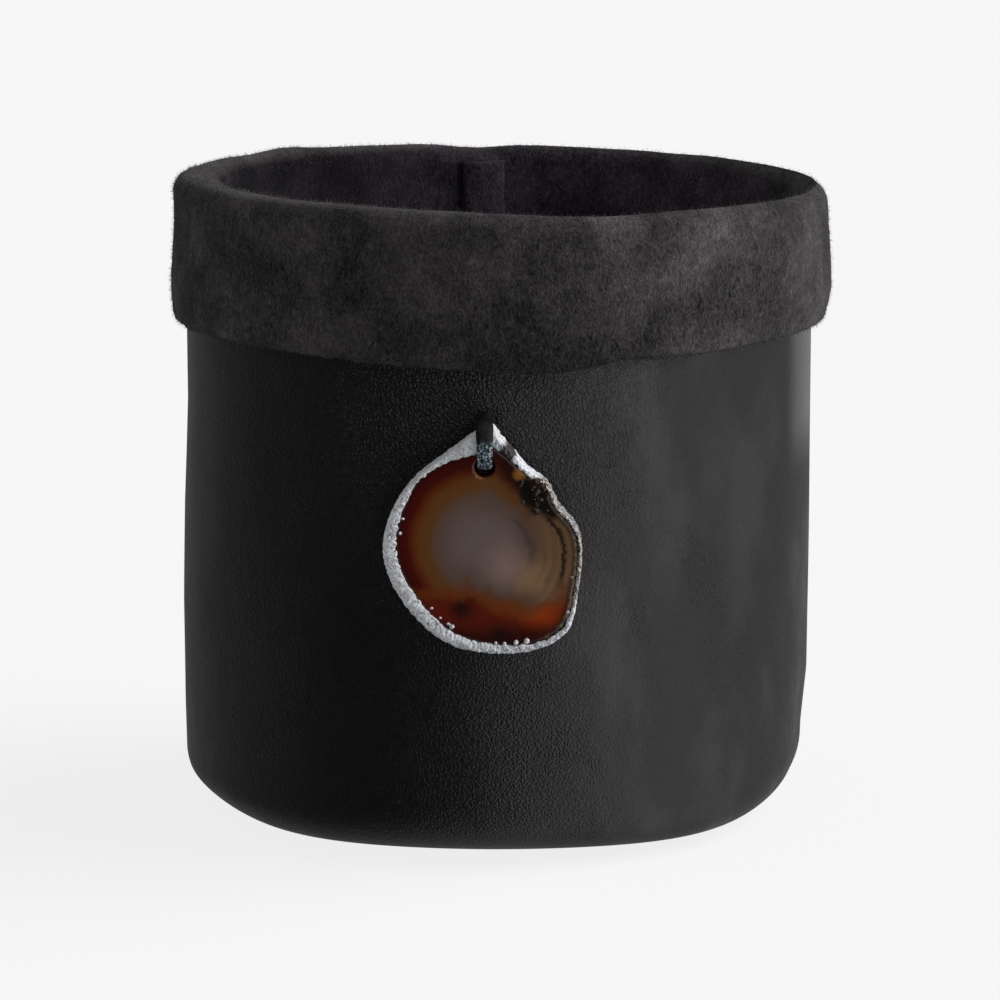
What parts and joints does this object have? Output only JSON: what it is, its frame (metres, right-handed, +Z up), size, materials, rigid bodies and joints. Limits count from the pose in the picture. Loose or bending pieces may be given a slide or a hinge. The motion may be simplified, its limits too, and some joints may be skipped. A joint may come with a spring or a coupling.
{
  "type": "leather dice cup",
  "caption": "Squat round dice cup of black grain leather with a suede lining turned down as a cuff, and an agate slice hung from a leather lace.",
  "frame": {"origin": "centre of the cup's underside, on the surface that it stands on", "axes": "+Z up along the cup's axis, -Y towards the agate slice, +X to the right of someone who faces it"},
  "size_m": [0.0944, 0.0983, 0.092],
  "materials": {
    "grain_leather": "black pebbled grain, softly waxed",
    "suede": "charcoal suede, brushed nap",
    "board": "pressed leatherboard",
    "thread": "waxed thread",
    "lace_leather": "smooth black lace, slightly glossy",
    "agate": "polished banded agate",
    "silver": "rough plated silver edge"
  },
  "bodies": {
    "cup": {"outer_wall": "grain_leather", "suede_lining": "suede", "base_cover": "grain_leather", "hem_filler": "board", "base_board": "board", "floor_disc": "suede", "back_seam_backing": "grain_leather", "back_seam_stitches": "thread", "lining_seam_strip": "suede", "lace_tails": "lace_leather"},
    "lace": {"lace_loop": "lace_leather"},
    "stone": {"agate_slice": "agate", "silver_edge": "silver"}
  },
  "joints": [
    {"name": "lace_lift", "type": "hinge", "parent": "cup", "child": "lace", "pos_m": [0, -0.0462, 0.0641], "axis": [-1, 0, 0], "range_deg": [0, 95]},
    {"name": "stone_turn", "type": "hinge", "parent": "lace", "child": "stone", "pos_m": [0, -0.046, 0.0579], "axis": [0, -0.9995, -0.0326], "range_deg": [-55, 65]}
  ]
}
